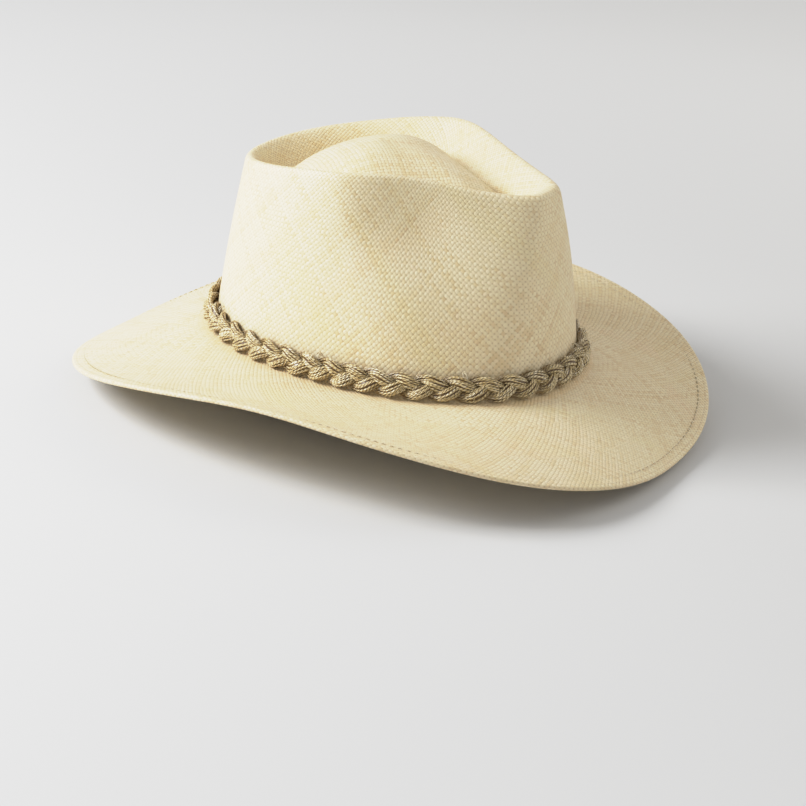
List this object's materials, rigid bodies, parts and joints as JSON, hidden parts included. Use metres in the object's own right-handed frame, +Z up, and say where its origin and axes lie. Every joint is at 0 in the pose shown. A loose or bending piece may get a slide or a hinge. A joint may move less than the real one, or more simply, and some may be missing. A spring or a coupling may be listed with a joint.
{
  "type": "panama hat",
  "caption": "Woven straw panama hat with a teardrop crown, pinched front, curled brim with a stitched hem, plaited band and a leather sweatband inside.",
  "frame": {"origin": "centre of the head opening, in the plane where the crown meets the brim", "axes": "+Z up along the crown, -Y towards the front of the hat, +X towards the wearer's left"},
  "size_m": [0.3232, 0.3485, 0.1469],
  "materials": {
    "straw": "fine woven toquilla straw, pale cream, satin",
    "thread": "cream sewing thread",
    "plait": "khaki raffia yarn, slightly glossy, in three thick strands",
    "leather": "thin tan leather, satin, fine grain",
    "reed": "beige piping, matt",
    "ribbon": "narrow dark brown ribbed ribbon",
    "tab": "plain off-white woven tab, blank"
  },
  "bodies": {
    "root": {"straw_body": "straw", "hem_stitching": "thread", "braid_strand_1": "plait", "braid_strand_2": "plait", "braid_strand_3": "plait", "braid_keeper": "plait", "band_tacks": "thread", "sweatband": "leather", "sweatband_reed": "reed", "sweatband_stitching": "thread", "sweatband_seam": "thread", "sweatband_bow": "ribbon", "size_tab": "tab"}
  },
  "joints": []
}
